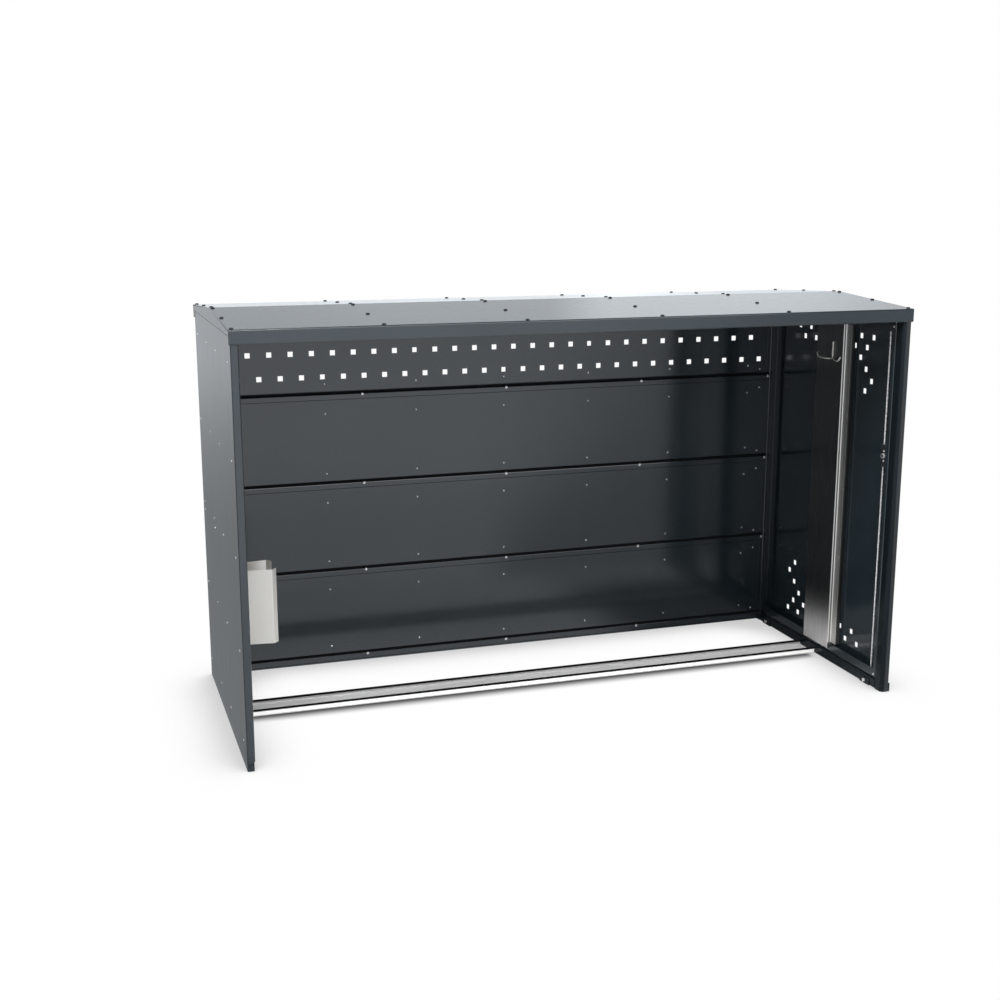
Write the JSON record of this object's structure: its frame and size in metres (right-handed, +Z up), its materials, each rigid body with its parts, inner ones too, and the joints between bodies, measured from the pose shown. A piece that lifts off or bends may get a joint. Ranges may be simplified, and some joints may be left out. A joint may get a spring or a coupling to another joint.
{
  "type": "bicycle locker",
  "caption": "Sheet-steel bicycle locker with shallow pitched roof, perforated hinged door with rod lock, floor wheel channel and wheel holder; one long side open",
  "frame": {"origin": "on the ground under the underside of the wheel channel, midway between the outer faces of the end walls and midway between the open side and the back", "axes": "+X along the locker to the door, +Y from the open long side to the back wall, +Z up"},
  "size_m": [2.1298, 0.873, 1.2785],
  "materials": {
    "paint": "smooth satin anthracite powder coat on folded sheet steel",
    "zinc": "galvanised sheet steel, faint spangle",
    "stainless": "brushed stainless sheet and wire",
    "rail": "bright brushed stainless channel, lightly scuffed in its floor",
    "black_plastic": "fine-grained black plastic and black coated hardware",
    "bright_plate": "bright zinc or nickel plate"
  },
  "bodies": {
    "shell": {"back_panel_1": "paint", "back_panel_2": "paint", "back_panel_3": "paint", "back_panel_4": "paint", "back_sill": "paint", "back_upright_left": "paint", "back_upright_middle": "paint", "back_upright_right": "paint", "door_header": "paint", "door_post_front": "paint", "door_post_rear": "paint", "door_sill": "paint", "eave_beam_front": "zinc", "eave_beam_rear": "zinc", "hinge_frame_leaf_lower": "zinc", "hinge_frame_leaf_upper": "zinc", "hinge_pin_lower": "zinc", "hinge_pin_upper": "zinc", "holder_backplate": "stainless", "keeper_lower": "zinc", "keeper_upper": "zinc", "kick_strip": "paint", "left_base_rail": "zinc", "left_channel_front": "zinc", "left_channel_middle_front": "zinc", "left_channel_middle_rear": "zinc", "left_channel_rear": "zinc", "left_top_rail": "zinc", "left_wall_skin": "paint", "rafter_1": "zinc", "rafter_2": "zinc", "rafter_3": "zinc", "rafter_4": "zinc", "ridge_strip": "zinc", "roof_sheet_front": "paint", "roof_sheet_rear": "paint", "sill_tie_bolt_front": "bright_plate", "sill_tie_bolt_rear": "bright_plate", "sill_tie_front": "paint", "sill_tie_rear": "paint", "wheel_holder": "stainless", "wheel_rail": "rail"},
    "door": {"door_panel": "paint", "stiffener_cover": "stainless", "stiffener_rail": "stainless", "coat_hook": "stainless", "lock_case": "black_plastic", "rod_guide_upper": "black_plastic", "rod_guide_lower": "black_plastic", "handle_plate": "black_plastic", "cylinder_body": "bright_plate", "cylinder_cover": "black_plastic", "hinge_door_leaf_upper": "zinc", "hinge_door_leaf_lower": "zinc"},
    "handle": {"handle_lever": "black_plastic", "lock_pinion": "zinc", "spindle_nut": "bright_plate"},
    "upper_rod": {"upper_rod": "bright_plate"},
    "lower_rod": {"lower_rod": "bright_plate"},
    "key_plug": {"cylinder_plug": "bright_plate"}
  },
  "joints": [
    {"name": "door_hinge", "type": "hinge", "parent": "shell", "child": "door", "pos_m": [1.056, 0.39375, 0.62], "axis": [0, 0, 1], "range_deg": [0, 110]},
    {"name": "handle_turn", "type": "hinge", "parent": "door", "child": "handle", "pos_m": [1.05, -0.3609, 0.7777], "axis": [-1, 0, 0], "range_deg": [0, 90]},
    {"name": "upper_rod_slide", "type": "slide", "parent": "door", "child": "upper_rod", "axis": [0, 0, 1], "range_m": [0, 0.0126]},
    {"name": "lower_rod_slide", "type": "slide", "parent": "door", "child": "lower_rod", "axis": [0, 0, -1], "range_m": [0, 0.0126]},
    {"name": "key_turn", "type": "hinge", "parent": "door", "child": "key_plug", "pos_m": [1.05, -0.368, 0.6877], "axis": [-1, 0, 0], "range_deg": [0, 90]}
  ],
  "couplings": [
    {"joint": "upper_rod_slide", "follows": "handle_turn", "m_per_rad": 0.008},
    {"joint": "lower_rod_slide", "follows": "handle_turn", "m_per_rad": 0.008}
  ]
}
